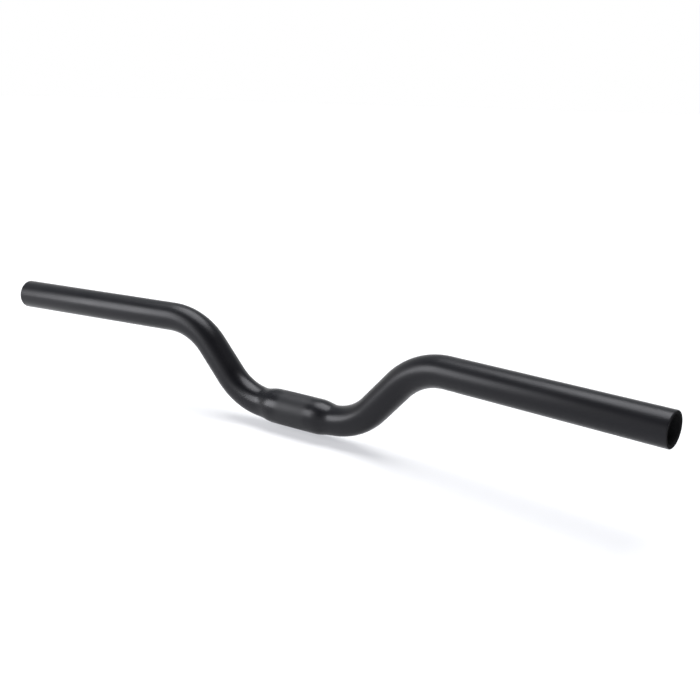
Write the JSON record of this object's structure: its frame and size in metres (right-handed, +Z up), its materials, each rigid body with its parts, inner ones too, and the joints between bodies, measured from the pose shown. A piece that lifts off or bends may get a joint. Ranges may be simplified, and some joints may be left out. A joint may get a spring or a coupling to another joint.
{
  "type": "riser handlebar",
  "caption": "Bent tubular bicycle riser handlebar with a swaged centre for the stem clamp, two rises and swept-back straight grips, open at both ends.",
  "frame": {"origin": "centre of the clamp seat, on the tube's axis", "axes": "+X along the bar to the rider's right, +Y forwards (the grips sweep back towards -Y), +Z up, in the plane of the rises"},
  "size_m": [0.543, 0.048, 0.0791],
  "materials": {
    "black_anodised": "satin black anodised"
  },
  "bodies": {
    "root": {"handlebar": "black_anodised"}
  },
  "joints": []
}
